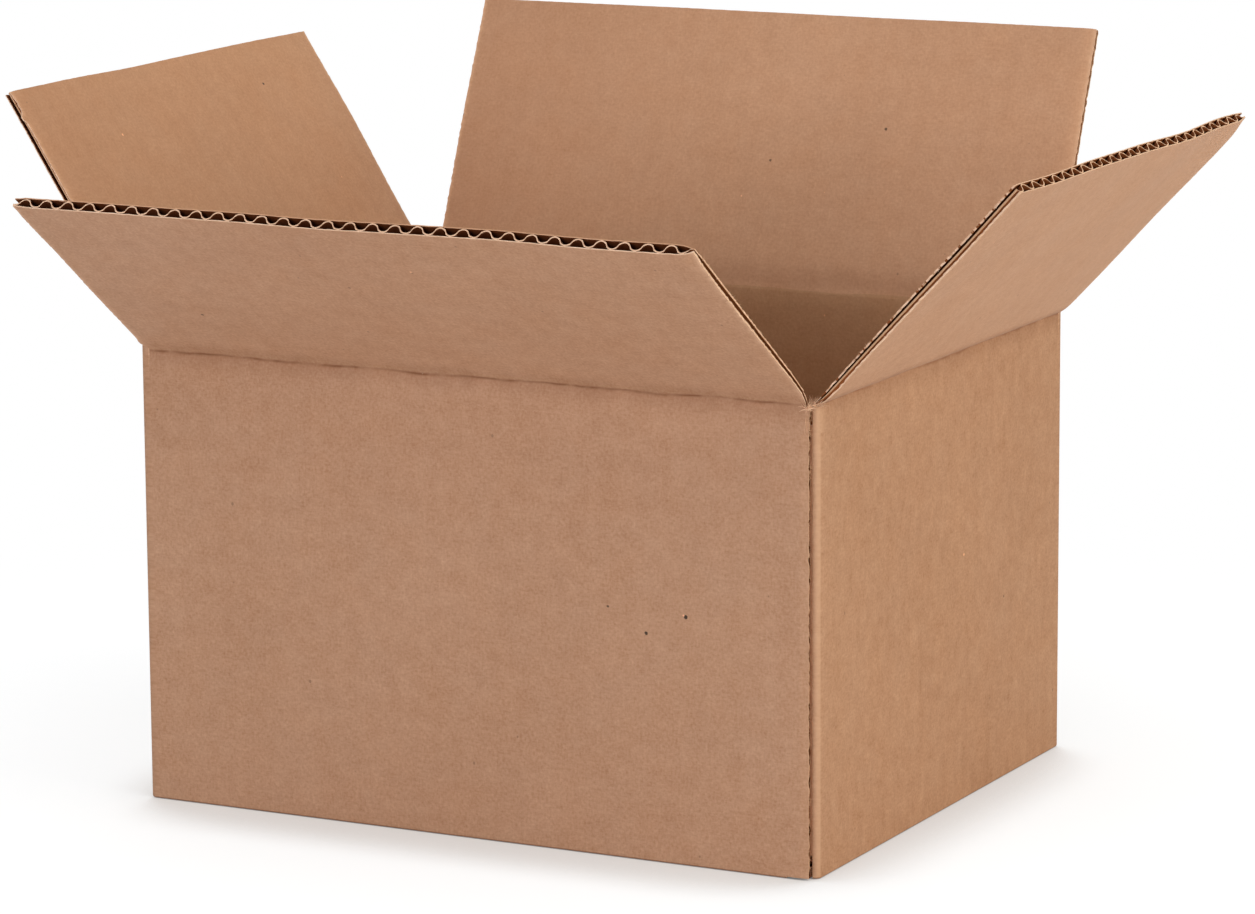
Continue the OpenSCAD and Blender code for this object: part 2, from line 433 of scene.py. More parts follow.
# Top flaps
class Flap:
    """A top flap with its crushed fold: u runs along the crease, w up the flap, and v into the board."""

    # Fold line: wandering and its span, varying depth, and the depth lost by the sides and its span
    WANDER, WANDER_SPAN, DEPTH_VARIES, SIDE_LOSS, SIDE_SPAN = 0.4, 5.0, 0.3, 0.75, 5.0
    # Top of the pressed-in fold, half length of the inner bend, and its crushing with place and span
    FADE_TOP, BEND, CRUSH, CRUSH_AT, CRUSH_SPAN = 9.0, 3.4, 0.25, 1.0, 4.2
    # Swelling towards the free edge, waviness, height of flute marks, and last stretch of the flap
    SWELL, WAVINESS, FLUTE_MARK, RIM = 0.19, 0.45, 0.018, 1.2
    # Width of the fluffy sides, reach of chips and of the bending, and fibres before the thicker shreds
    FLUFF, CHIP_REACH, HINGE_REACH, FINE_HAIRS = 0.9, 3, 6.2, 14

    # Some flaps change these. Slant, widening on the left by the crease, painted sheen outside, painted shade
    # inside
    skew, flare, faded, shade = 0.0, 0.0, 0.0, 0.0
    # Side where the fold rounds the glued corner, and side with a torn inner liner
    round_side, torn_side = 0, 0
    # Dents: u, w, width, height. Pinches: the same and share lost
    dents, pinches = (), ()
    # Chips: side, sheet (0 outer, 1 inner), w, half length, depth
    chips = ()
    # By side: fibres, crushing, roughness of the cut, and puffing of the liners
    frayed, crushed, rough, puffed = ({-1: value, 1: value} for value in (14, 0.07, 0.14, 0.06))
    # Raggedness of the free edge, rows up the flap, and slots of its inner rim, lower wall and hollows
    trim, steps, top_rim, outside, hollows = 0.12, 78, CUT, LINER_OUT, FLUTE_SHADE

    def __init__(self, name, turn, distance, crease, width, valley, phase, seed):
        self.name, self.turn, self.distance, self.crease = name, turn, distance, crease
        self.width, self.valley, self.phase, self.seed = width, valley, phase, seed
        self.is_long = name in ("front", "back")
        self.low = WALL_TOP - crease
        self.start = ALONG[name] + (LENGTH if self.is_long else WIDTH) / 2
        self.lean = math.radians(ANGLES[name])
        self.up_flap = np.array([-math.sin(self.lean), math.cos(self.lean)])
        self.inward = np.array([math.cos(self.lean), math.sin(self.lean)])
        self.wander = smooth_noise(seed, 9, 70)
        self.depth = smooth_noise(seed + 1, 7, 50)
        self.swell = smooth_noise(seed + 2, 45, 160)
        self.rag = smooth_noise(seed + 3, 1.6, 4)
        # Depth of the fold line, and darkness of the painted shade in it
        self.dip, self.crease_shade = (0.8, 0.75) if self.is_long else (0.6, 0.5)

    def from_side(self, u):
        return self.width / 2 - np.abs(u)

    def by_side(self, u, values):
        return np.where(u < 0, values[-1], values[1])

    def outer_face(self, u, w):
        """Outer points of the bent board, inward and up from the crease line."""
        valley, low, d = self.valley, self.low, self.up_flap
        depth = self.dip * (1 + self.DEPTH_VARIES * self.depth(u))
        depth = depth * (1 - self.SIDE_LOSS * bell(self.from_side(u), self.SIDE_SPAN))
        q = unit((w - low) / (valley - low))
        wall = np.stack([depth * q ** 5, w], -1)
        fade = (1 - unit((w - valley) / (self.FADE_TOP - valley))) ** 3
        off = np.stack([depth - valley * d[0], np.full_like(depth, valley - valley * d[1])], -1)
        leaf = w[..., None] * d + off * fade[..., None]
        outer = np.where((w <= valley)[..., None], wall, leaf)
        if self.round_side:
            past = np.clip(self.round_side * u - (HALF_W - BOARD - FOLD), 0, FOLD)
            turn_in = (FOLD - np.sqrt(FOLD ** 2 - past ** 2)) * unit(1 - (w - valley) / 7) ** 2
            rising = unit((w - valley) / 5)[..., None]
            way = np.array([1.0, 0.0]) * (1 - rising) + self.inward * rising
            outer = outer + turn_in[..., None] * way
        return outer

    def inner_face(self, w):
        """Inner points before crushing: upright, a curve, then straight up the flap."""
        d, n, reach = self.up_flap, self.inward, self.BEND
        a = np.array([BOARD, -reach])
        b = BOARD * n + reach * d
        c = np.array([BOARD, BOARD * math.tan(self.lean / 2)])
        s = unit((w + reach) / (2 * reach))[..., None]
        bend = (1 - s) ** 2 * a + 2 * s * (1 - s) * c + s ** 2 * b
        flat = BOARD * n + w[..., None] * d
        plumb = np.stack([np.full_like(w, BOARD), w], -1)
        return np.where((w < -reach)[..., None], plumb, np.where((w > reach)[..., None], flat, bend))

    def section(self, u, w):
        """Outer and inner points of the bent and crushed board."""
        u, w = np.broadcast_arrays(u, w)
        w = w + self.WANDER * self.wander(u) * bell(w - self.valley, self.WANDER_SPAN)
        outer, inner = self.outer_face(u, w), self.inner_face(w)
        crush = self.CRUSH * (1 + 0.2 * self.depth(u + 40)) * bell(w - self.CRUSH_AT, self.CRUSH_SPAN)
        return outer, inner + (outer - inner) * crush[..., None]

    def into(self, u, w, v):
        """Depth in the swollen, crushed and pinched board, whose liners keep their thickness."""
        edge = self.from_side(u)
        settle = unit((w - self.low) / 6) ** 2
        crushed = self.by_side(u, self.crushed)
        pinch = 1 - settle * (crushed * bell(edge, 2.6) + 0.06 * bell(edge, 5.0) * bell(w - 4, 10.0))
        for cu, cw, wide, tall, share in self.pinches:
            pinch = pinch - share * bell(u - cu, wide) * bell(w - cw, tall)
        fuller = 1 + self.SWELL * ramp(w, 10, 60)
        v = BOARD - (BOARD - v) * fuller if self.is_long else v * fuller
        lost = BOARD * (1 - pinch) / 2
        core = unit((v - LINER) / (BOARD - 2 * LINER)) * (BOARD - 2 * LINER - 2 * lost)
        return lost + np.minimum(v, LINER) + core + np.maximum(v - (BOARD - LINER), 0)

    def place(self, u, w, v):
        """Points of the finished board at u, w and v."""
        u, w, v = np.broadcast_arrays(u, w, v)
        outer, inner = self.section(u, w)
        p = outer + (inner - outer) * (self.into(u, w, v) / BOARD)[..., None]
        lift = self.WAVINESS * self.swell(u, w) * ramp(w, 8, 48)
        for cu, cw, wide, high in self.dents:
            lift = lift + high * bell(np.hypot(u - cu, w - cw), wide)
        p = p + lift[..., None] * self.inward
        wider = np.clip(-2 * u / self.width, 0, None) ** 8
        wider = wider * unit((w + 0.5) / 2) * unit(1 - w / FLAP)
        slide = self.skew * np.clip(w / FLAP, 0, None) - self.flare * wider
        out = np.stack([u + slide, -self.distance + p[..., 0], self.crease + p[..., 1]], -1)
        return turned(out, self.turn)

    def columns(self, step):
        """Places along the crease, closer by the two cut sides."""
        side = self.width / 2
        even = np.linspace(-side, side, max(2, round(self.width / step)) + 1)
        rim = np.array([0.35, 0.75, 1.25])
        return np.unique(np.round(np.concatenate([even, rim - side, side - rim]), 4))

    def rows(self):
        """Distances from the crease line, closest by the fold."""
        fold = np.array([-3.2, -2.2, -1.5, -1.0, -0.6, -0.3, 0, 0.25, 0.5, 0.9, 1.4, 2.1, 3.0, 4.2])
        return np.concatenate([
            np.linspace(self.low, self.valley - 4.2, 5),
            self.valley + fold,
            np.linspace(self.valley + 5.5, 14, 6),
            np.linspace(16, FLAP - self.RIM, self.steps),
            [FLAP],
        ])

    def ragged_rows(self, rows, ragged):
        """The rows for every column, with a ragged free edge."""
        return rows[:, None] + (rows == FLAP)[:, None] * ragged[None]

    def hollow(self, u):
        """Slots inside the board, with painted shade: darkest within, lighter just behind the cut sides."""
        deep = self.width / 2 - np.abs(u[:-1] + u[1:]) / 2 > 1.6
        return np.where(deep, self.hollows, GAP_SHADE)[None]

    def flute(self, u):
        """Place in the wave of the medium."""
        return 2 * math.pi * ((u + self.width / 2) / PITCH - self.phase)

    def cut_sides(self, u, rows, layer):
        """The columns for every row, with rough and chipped sides."""
        wide = np.broadcast_to(u, (len(rows), len(u))).copy()
        for side in (-1, 1):
            shift = self.rough[side] * unit((rows - self.valley) / 4)
            shift = shift * self.rag(rows * 1.3, 200 + 40 * layer + 90 * side)
            for where, sheet, cw, span, deep in self.chips:
                if (where, sheet) == (side, layer):
                    shift = shift - deep * np.exp(-np.abs((rows - cw) / span) ** 6)
            near = unit(1 - (self.width / 2 - side * u) / self.CHIP_REACH)
            wide += side * shift[:, None] * near[None]
        return wide

    def side_slots(self, rows, layer):
        """Slots of a liner's two cut sides, of which one inner one is torn."""
        torn = self.rag(rows[:-1] * 1.1, 600.0 + 70 * layer)
        torn = np.where(torn > -0.15, CUT, np.where(torn > -0.45, FOLDED, GAP_SHADE))[:, None]
        return [torn if layer == 1 and side == self.torn_side else CUT for side in (-1, 1)]

    def fluff(self, u, rows, layer):
        """Pale fluff along the cut sides above the fold."""
        fluff = bell(self.from_side(u), self.FLUFF)[None]
        fluff = fluff * (1.0 + 0.5 * self.rag(rows, 400.0 + 50 * layer))[:, None]
        return unit(fluff) * self.above(rows)

    def above(self, rows):
        return unit((rows - self.valley) / 6)[:, None]

    def outer_light_and_fluff(self, u, rows):
        """Painted shade in the fold line and soft painted shade beside it, pale fluff on the sides, a painted
        sheen on the face, and a painted highlight by the glued corner.
        """
        away = rows - self.valley
        # Painted shade in the crease, broken along it, and soft painted shade above and below it
        broken = np.clip(0.7 + 0.5 * self.depth(u * 1.7 + 90), 0.25, 1)
        line = self.crease_shade * bell(away, 0.45)[:, None] * broken[None]
        soft = (0.24 * bell(away - 1.8, 3.0) + 0.12 * bell(away + 2.5, 2.6))[:, None]
        soft = soft * (1 + 0.4 * self.depth(u + 15))[None]
        # Painted sheen outside, paler towards the flap's far end
        sheen_paling = self.faded * (1 + 1.2 * u / self.width)
        light_and_fluff = line + soft - sheen_paling[None] * self.above(rows) - self.fluff(u, rows, 0)
        # Painted shade from the front flap on the wall below the crease
        if self.name == "front":
            light_and_fluff = light_and_fluff + (painted_flap_shade(self.crease + rows) * (rows < self.valley))[:, None]
        # Painted highlight by the rounded glued corner, below the crease
        if self.round_side:
            beside = unit((self.round_side * u - (HALF_W - BOARD - FOLD - 4)) / 4)
            below = unit((self.valley - rows) / 2.5)
            light_and_fluff = light_and_fluff - 0.5 * beside[None] * below[:, None]
        return light_and_fluff

    def inner_light_and_fluff(self, u, rows):
        """Faint painted shade at the scored fold, painted shade towards one end, and pale fluff on the sides.
        """
        score_shade = 0.10 * bell(rows - 1.5, 2.2)[:, None]
        shade = self.shade * unit(2 * u / self.width) ** 1.5
        return score_shade + shade[None] * self.above(rows) - 0.8 * self.fluff(u, rows, 1)

    def facing_sheets(self, form, rows):
        """The outer and the inner liner."""
        u = self.columns(PITCH / 4)
        hollow = self.hollow(u)
        without = np.where(rows[:-1] < self.valley, self.outside, LINER_OUT)[:, None]
        within = np.where(rows[:-1] < -1.2, SHADED_WALL_IN, LINER_IN)[:, None]
        mark = self.FLUTE_MARK * np.cos(self.flute(u))[None] * unit((rows - 7) / 12)[:, None]
        puff = self.by_side(u, self.puffed) * bell(self.from_side(u), self.FLUFF)
        puff = puff[None] * unit((rows - self.valley) / 5)[:, None]
        for layer, low, high, slots, rim, light_and_fluff in (
            (0, 0.0, LINER, (without, hollow), CUT, (self.outer_light_and_fluff(u, rows), 0.0)),
            (1, BOARD - LINER, BOARD, (hollow, within), self.top_rim, (0.0, self.inner_light_and_fluff(u, rows))),
        ):
            w = self.ragged_rows(rows, self.trim * self.rag(u, 30.0 * layer))
            wide = self.cut_sides(u, rows, layer)
            a = self.place(wide, w, low + mark - puff * layer)
            b = self.place(wide, w, high + mark + puff * (1 - layer))
            uv = board_uv(self.start + wide, self.crease + w)
            form.slab(a, b, uv, slots, ends=(CUT, rim, *self.side_slots(rows, layer)), light_and_fluff=light_and_fluff)

    def wavy_sheet(self, form, rows):
        """The fluted medium between the liners."""
        u = self.columns(PITCH / 12)
        c = np.cos(self.flute(u))
        wave = WAVE_RISE * np.where(c > 0, np.abs(c) ** 0.62, -np.abs(c) ** 0.5)
        slope = np.gradient(wave, u)
        skin = MEDIUM / 2 * np.minimum(np.sqrt(1 + slope ** 2), 1.6)
        keep = np.unique(np.concatenate([rows[rows < 15], rows[rows >= 15][::9], [FLAP - self.RIM, FLAP]]))
        w = self.ragged_rows(keep, self.trim * self.rag(u, 77.0) - 0.05)
        flat = 1 - 0.6 * bell(w - self.valley, 3.0)
        a, b = (self.place(u[None], w, BOARD / 2 + (wave + off)[None] * flat) for off in (-skin, skin))
        uv = board_uv(self.start + u[None] + 700, self.crease + w)
        form.slab(a, b, uv, (self.hollow(u), self.hollow(u)), ends=(FLUTE_SHADE, FIBRE, FOLDED, FOLDED))

    def fray(self, form):
        """Loose fibres along the two cut sides."""
        rng = np.random.default_rng(self.seed + 9)
        for side in (-1, 1):
            for k in range(self.frayed[side]):
                fine = k < self.FINE_HAIRS
                if fine:
                    w = rng.choice([rng.uniform(9, 22), rng.uniform(9, FLAP - 4)])
                else:
                    w = rng.uniform(16, FLAP - 2)
                v = rng.choice([LINER / 2, BOARD - LINER / 2], p=[0.3, 0.7])
                p, q = self.place(side * self.width / 2, np.array([w, w + 1.0]), v)
                r = self.place(side * (self.width / 2 - 1.0), np.array([w]), v)[0]
                way = (p - r) * rng.uniform(0.2, 1.0) + (q - p) * rng.normal() + rng.normal(size=3) * 0.35
                length = rng.uniform(0.4, 1.3) if fine else rng.uniform(0.5, 1.1)
                thick = 0.035 if fine else 0.12
                form.hair(p - (p - r) * 0.15, way, length, thick, rng.normal() * 0.3, CUT, rng)

    def make(self):
        """The finished piece, shaped bent from its wall to its flap across the crease."""
        form = Form()
        rows = self.rows()
        self.facing_sheets(form, rows)
        self.wavy_sheet(form, rows)
        self.fray(form)
        piece = form.build(self.name + "_flap_board", MATERIALS)
        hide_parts(self.name + "_flap")
        middle = np.array([0.0, 1.0]) + self.up_flap
        middle = middle / np.linalg.norm(middle)
        for reach in (-self.HINGE_REACH, self.HINGE_REACH):
            q = middle * reach
            turned(np.array([0.0, -self.distance + q[0], self.crease + q[1]]), self.turn) * MM
        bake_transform(piece)


front = Flap("front", 0, HALF_W, LONG_CREASE, LONG_FLAP, valley=-1.8, phase=0.55, seed=11)
front.skew, front.flare = 1.2, 3.0
front.top_rim = LINER_IN
front.frayed, front.crushed = {-1: 14, 1: 110}, {-1: 0.07, 1: 0.34}
front.rough, front.puffed = {-1: 0.14, 1: 0.16}, {-1: 0.06, 1: 0.34}
front.pinches = [(-LONG_FLAP / 2, FLAP, 4.0, 8.0, 0.22), (LONG_FLAP / 2, FLAP, 3.0, 7.0, 0.35)]

right = Flap("right", 90, HALF_L, END_CREASE, END_FLAP, valley=1.6, phase=0.75, seed=31)
# The right flap's outside gets a painted sheen
right.skew, right.faded, right.steps = 1.2, 0.17, 130
right.round_side, right.torn_side = -1, -1
# The right flap's hollows get the lighter painted shade
right.outside, right.hollows = SIDE_OUT, GAP_SHADE
right.frayed, right.crushed = {-1: 150, 1: 14}, {-1: 0.12, 1: 0.07}
right.rough, right.puffed = {-1: 0.42, 1: 0.14}, {-1: 0.26, 1: 0.06}
right.pinches = [(END_FLAP / 2, FLAP, 5.0, 6.0, 0.4)]
right.dents = [(END_FLAP / 2, FLAP, 5.0, 0.5)]
right.chips = [
    (-1, 0, 10.5, 8.5, 0.9), (-1, 0, 2.6, 1.4, 0.8), (-1, 1, 13.0, 3.0, 0.35), (-1, 1, 22.0, 2.0, 0.4),
]

back = Flap("back", 180, HALF_W, LONG_CREASE, LONG_FLAP, valley=-1.8, phase=0.30, seed=51)
back.trim, back.shade = 0.04, 0.21
back.crushed = {-1: 0.52, 1: 0.07}

left = Flap("left", -90, HALF_L, END_CREASE, END_FLAP, valley=1.6, phase=0.40, seed=71)
left.trim, left.shade = 0.04, 0.15
left.crushed = {-1: 0.07, 1: 0.42}
left.chips = [(1, 1, FLAP - 5.0, 3.5, 0.7), (1, 1, 60.0, 30.0, 0.25), (1, 1, FLAP - 10.5, 1.3, -1.5)]

for flap in (front, right, back, left):
    flap.make()


# Walls, floor and glued corner
def wall_path():
    """Columns of the sheet from above: outer and inner point, outward way, place along, panel share."""
    columns = []

    def arc(cx, cy, ix, iy, first, start, extra=()):
        for a in np.radians(np.unique(np.concatenate([np.linspace(first, first + 90, 8), extra]))):
            way = np.array([math.cos(a), math.sin(a)])
            outer, inner = np.array([cx, cy]) + FOLD * way, np.array([ix, iy]) + INNER_FOLD * way
            place = start + (a - math.radians(first)) / (math.pi / 2) * 2 - 1
            columns.append((outer, inner, way, place, 0.0))

    def straight(p0, p1, q0, q1, way, start, length, marks):
        p0, p1, q0, q1 = (np.array(p) for p in (p0, p1, q0, q1))
        total = np.linalg.norm(p1 - p0)
        even = np.linspace(0, 1, round(total / 4) + 1)
        for s in np.unique(np.concatenate([even, [m / total for m in marks]]))[1:-1]:
            outer, inner = p0 * (1 - s) + p1 * s, q0 * (1 - s) + q1 * s
            columns.append((outer, inner, np.array(way, float), start + s * length, s))

    t, f, x, y, at = BOARD, FOLD, HALF_L, HALF_W, ALONG
    xo, yo, xi, yi = x - f, y - f, x - t - INNER_FOLD, y - t - INNER_FOLD
    tab_o, tab_i = -y + t + f, -y + t + t + INNER_FOLD
    cut = INSET - f
    slot_side = -math.degrees(math.asin((t + f - INSET) / f))
    last = x - SETBACK - PITCH
    arc(xo, tab_o, xi, tab_i, -90, at["right"], [slot_side])
    marks = [2 * y - t - 2 * f - cut]
    straight((x, tab_o), (x, yo), (x - t, tab_i), (x - t, yi), (1, 0), at["right"], WIDTH, marks)
    arc(xo, yo, xi, yi, 0, at["back"])
    marks = [cut, 2 * x - 2 * f - cut]
    straight((xo, y), (-xo, y), (xi, y - t), (-xi, y - t), (0, 1), at["back"], LENGTH, marks)
    arc(-xo, yo, -xi, yi, 90, at["left"])
    marks = [cut, 2 * y - 2 * f - cut]
    straight((-x, yo), (-x, -yo), (-x + t, yi), (-x + t, -yi), (-1, 0), at["left"], WIDTH, marks)
    arc(-xo, -yo, -xi, -yi, 180, at["front"])
    straight((-xo, -y), (last, -y), (-xi, -y + t), (last, -y + t), (0, -1), at["front"], last + x, [cut])
    outer, inner = np.array([last, -y]), np.array([last, -y + t])
    columns.append((outer, inner, np.array([0.0, -1.0]), at["front"] + last + x, 1.0))
    return columns


columns = wall_path()
every = np.arange(len(columns))
outer_xy, inner_xy, outward, along, share = (np.array(part) for part in zip(*columns))
panel_swell = smooth_noise(5, 50, 190)
panel_ripple = smooth_noise(6, 16, 60)

# Painted highlight on the fold round the glued corner, and slots of the walls' outside
painted_fold_highlight = np.zeros(len(columns))
painted_fold_highlight[:7] = -0.3, -0.38, -0.45, -0.5, -0.5, -0.5, -0.5
outside = np.where(along < WIDTH, SIDE_OUT, LINER_OUT)


def walls(rows, cols):
    """Outer and inner grids of the walls on the given heights and columns."""
    z = rows[:, None]
    low = np.clip(BASE_FOLD - z, 0, BASE_FOLD)
    tuck = BASE_FOLD - np.sqrt(np.maximum(BASE_FOLD ** 2 - low ** 2, 0))
    height = unit(np.sin(np.pi * unit(z / WALL_TOP)))
    window = (4 * share[cols] * (1 - share[cols]))[None] * height
    place = along[cols][None]
    bulge = window * (0.35 + 0.55 * panel_swell(place, z) + 0.10 * panel_ripple(place, z))
    way = outward[cols][None]
    move = (bulge - tuck)[..., None] * way
    level = np.broadcast_to(z, move.shape[:2])[..., None]
    outer = np.concatenate([outer_xy[cols][None] + move, level], -1)
    inner = np.broadcast_to(inner_xy[cols][None], move.shape) + (bulge[..., None] * way)
    return outer, np.concatenate([inner, level], -1), board_uv(place, z)


def make_walls(body):
    """The four walls from the base to the creases, with painted shade along the base and towards the front
    crease.
    """
    rounded = BASE_FOLD * (1 - np.cos(np.linspace(0, math.pi / 2, 6)))
    even = np.linspace(4, 14, 4), np.linspace(20, 144, 24)
    heights = np.concatenate([rounded, *even, [147.5, WALL_TOP]])
    outer, inner, uv = walls(heights, every)
    on_front = along >= ALONG["front"]
    at_base = (heights < 0.5)[:, None]
    # Painted shade along the foot of the walls, darker on the front
    painted_base_shade = np.where(on_front, 0.55, 0.3)[None] * at_base
    light_and_fluff = painted_fold_highlight[None] * ~at_base + painted_base_shade + on_front[None] * painted_flap_shade(heights)[:, None]
    body.slab(outer, inner, uv, (outside[None, :-1], SHADED_WALL_IN), light_and_fluff=(light_and_fluff, 0.0))


def make_posts(body, rng):
    """Posts at the slots' ends in the upper corners, with fibres on their torn tops."""
    slack, taller = 0.01, 1.2
    torn = smooth_noise(8, 0.8, 5)
    at_end = np.abs(outer_xy[:, 0]) > HALF_L - INSET - slack
    corner = every[at_end & (np.abs(outer_xy[:, 1]) > HALF_W - INSET - slack)]
    for run in np.split(corner, np.where(np.diff(corner) > 1)[0] + 1):
        glued = run[0] == 0
        by_front = not glued and outer_xy[run, 1].max() < 0
        outer, inner, uv = walls(np.linspace(WALL_TOP, POST_TOP + taller * by_front, 6), run)
        ragged = 0.5 if glued else 0.15
        outer[-1, :, 2] += ragged * torn(along[run])
        inner[-1, :, 2] += ragged * torn(along[run], 9.0) - 0.3
        # The posts carry the painted highlight of the glued corner's fold
        body.slab(outer, inner, uv, (outside[run][None, :-1], SHADED_WALL_IN), light_and_fluff=(painted_fold_highlight[run][None], 0.0))
        for _ in range(45 if glued else 12):
            k = rng.integers(0, len(run))
            s = rng.uniform(0, 1)
            start = outer[-1, k] * (1 - s) + inner[-1, k] * s - np.array([0, 0, 0.25])
            flat = outward[run[k]] * rng.normal(0.2, 0.6)
            way = np.array([*flat, rng.uniform(0.25, 1.0)]) + rng.normal(size=3) * 0.5
            thick = rng.uniform(0.06, 0.12) if glued else 0.05
            length = rng.uniform(0.8, 3.4) if glued else rng.uniform(0.4, 0.9)
            body.hair(start, way, length, thick, rng.normal() * 0.7, FIBRE if glued else CUT, rng)


# Raw edge of the front wall at the glued corner: three sheets pressed together
RAW_EDGE, PRESSED, RAW_EDGE_PHASE = HALF_L - SETBACK, 3, 0.36
uneven = smooth_noise(14, 1.6, 6)
gaping = smooth_noise(15, 2.5, 14)


def edge_point(u, z, v):
    """A point of the front wall near its raw edge, v into the board."""
    u, z, v = np.broadcast_arrays(u, z, v)
    end = unit((u - (RAW_EDGE - PRESSED)) / PRESSED)
    shift = 0.24 * uneven(z, v) * end ** 2
    squeeze = 1 - end * (1 - 0.28 * np.clip(0.5 + 0.8 * gaping(z), 0.12, 1.2))
    y = BOARD + (v - BOARD) * squeeze
    forward = 0.78 - 0.14 * unit((z - 146) / 5)
    return np.stack([u + shift, -HALF_W + y - BOARD * (1 - squeeze) * forward, z], -1)


def edge_sheets(body, us, zs):
    """Two liners and the medium on the given places along and heights."""
    slant, medium_short, skin = 0.28, 0.7, MEDIUM * 0.5
    slanted = us.copy()
    slanted[-1] -= slant
    u, z = us[None], zs[:, None]
    ends = (CUT, CUT, CUT, FOLDED)
    uv = board_uv(ALONG["front"] + HALF_L + u, z)
    a, b = edge_point(slanted[None], z, 0.0), edge_point(u, z, LINER)
    # The outer liner by the raw edge gets the front flap's painted shade too
    body.slab(a, b, uv, (LINER_OUT, GAP_SHADE), ends=ends, light_and_fluff=(painted_flap_shade(z), 0.0))
    a, b = edge_point(u, z, BOARD - LINER), edge_point(u, z, BOARD)
    body.slab(a, b, uv, (GAP_SHADE, LINER_IN), ends=ends)
    short = np.linspace(us[0], us[-1] - medium_short, len(us))
    wave = WAVE_RISE * np.cos(2 * math.pi * ((short - HALF_L) / PITCH + RAW_EDGE_PHASE))
    a, b = (edge_point(short[None], z, (BOARD / 2 + wave + off)[None]) for off in (-skin, skin))
    body.slab(a, b, board_uv(900 + short[None], z), (GAP_SHADE, GAP_SHADE))


def make_raw_edge(body, rng):
    """The raw edge from the base to the slot's end, with fibres along it."""
    rows = np.concatenate([[0.6, 2.0], np.linspace(5, WALL_TOP, 160)])
    edge_sheets(body, np.linspace(RAW_EDGE - PITCH, RAW_EDGE, 15), rows)
    edge_sheets(body, np.linspace(HALF_L - INSET, RAW_EDGE, 7), np.linspace(WALL_TOP, POST_TOP - 1.0, 10))
    for _ in range(170):
        z = rng.choice([rng.uniform(135, 160), rng.uniform(4, 158)], p=[0.3, 0.7])
        start = edge_point(RAW_EDGE - 0.1, z, rng.choice([0.15, BOARD - 0.15, BOARD * 0.6]))
        way = np.array([rng.uniform(0.3, 1), rng.normal() * 0.5, rng.normal() * 0.8])
        body.hair(start, way, rng.uniform(0.4, 1.3), 0.10, rng.normal() * 0.3, FOLDED, rng)


def make_tuft(body, rng):
    """Torn fibres and shreds at the end of the slot by the glued corner."""
    ring, draw = 2.2, rng.uniform
    for _ in range(95):
        if draw() < 0.5:
            x = HALF_L - draw(SETBACK, INSET)
            y = -HALF_W + draw(0.2, BOARD)
            z = POST_TOP - draw(1.1, 1.8)
        else:
            a = draw(-math.pi / 2, 0)
            x = HALF_L - FOLD + ring * math.cos(a)
            y = -HALF_W + BOARD + FOLD + ring * math.sin(a)
            z = POST_TOP - draw(0.4, 1.0)
        way = np.array([rng.normal(0.1, 0.8), rng.normal(-0.1, 0.6), draw(0.1, 1.3)])
        shred = draw() < 0.45
        length = draw(0.8, 2.4) if shred else draw(1.0, 4.2)
        thick = draw(0.16, 0.30) if shred else draw(0.06, 0.13)
        body.hair(np.array([x, y, z]), way, length, thick, rng.normal() * 0.9, FIBRE, rng)


def make_glue_tab(body):
    """The slanted tab glued inside the front wall."""
    outside_gap, inside_gap = 0.02, 0.3
    u = np.linspace(HALF_L - TAB_LENGTH, HALF_L - FOLD - 0.05, 14)
    reach = (HALF_L - BOARD - u).clip(0) * math.tan(math.radians(TAB_ANGLE))
    s = np.linspace(0, 1, 24)[:, None]
    z = (TAB_BASE + reach)[None] * (1 - s) + (TAB_TOP - reach)[None] * s
    x = np.broadcast_to(u[None], z.shape)
    press = 0.15 * panel_swell(x * 3, z)
    a = np.stack([x, np.full_like(z, -HALF_W + BOARD + outside_gap), z], -1)
    b = np.stack([x, -HALF_W + 2 * BOARD + press - inside_gap, z], -1)
    body.slab(a, b, board_uv(x - 1.0, z), (LINER_OUT, SHADED_WALL_IN))


def make_long_bottom(body, turn, key):
    """A long bottom flap, outside the floor."""
    along_flap = np.linspace(-HALF_L + INSET, HALF_L - INSET, 64)
    across = np.linspace(-HALF_W + BOARD, -BOTTOM_SEAM / 2, 26)[::-1]
    x, y = np.meshgrid(along_flap, across)
    a = np.stack([x, y, np.zeros_like(x)], -1)
    b = np.stack([x, y, np.full_like(x, BOARD - 0.05)], -1)
    uv = board_uv(ALONG[key] + HALF_L + x, -(y + HALF_W))
    body.slab(turned(a, turn), turned(b, turn), uv, (LINER_OUT, SHADED_WALL_IN))


